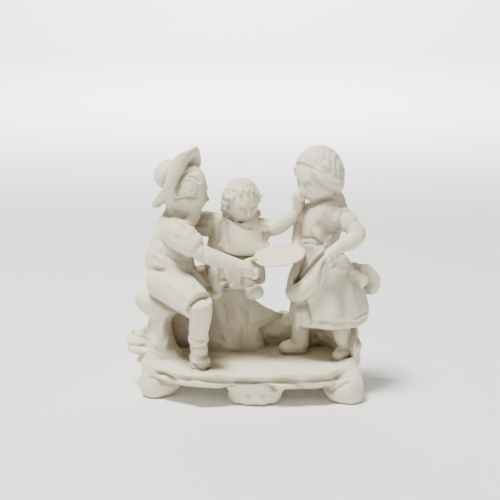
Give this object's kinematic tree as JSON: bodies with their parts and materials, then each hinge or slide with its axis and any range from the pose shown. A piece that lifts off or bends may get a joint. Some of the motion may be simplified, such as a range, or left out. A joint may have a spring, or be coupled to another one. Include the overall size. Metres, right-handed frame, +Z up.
{
  "type": "bisque figure group",
  "caption": "Bisque group: a seated boy, a small child on a stump and a standing girl share a plate, on a rocky footed plinth.",
  "frame": {"origin": "middle of the group's box in plan, at the underside of its feet", "axes": "+Z up, -Y towards the front where the plate is held out, +X towards the standing girl"},
  "size_m": [0.1602, 0.0822, 0.1555],
  "materials": {
    "bisque": "unglazed, matte, warm off-white"
  },
  "bodies": {
    "root": {"figure_group": "bisque"}
  },
  "joints": []
}
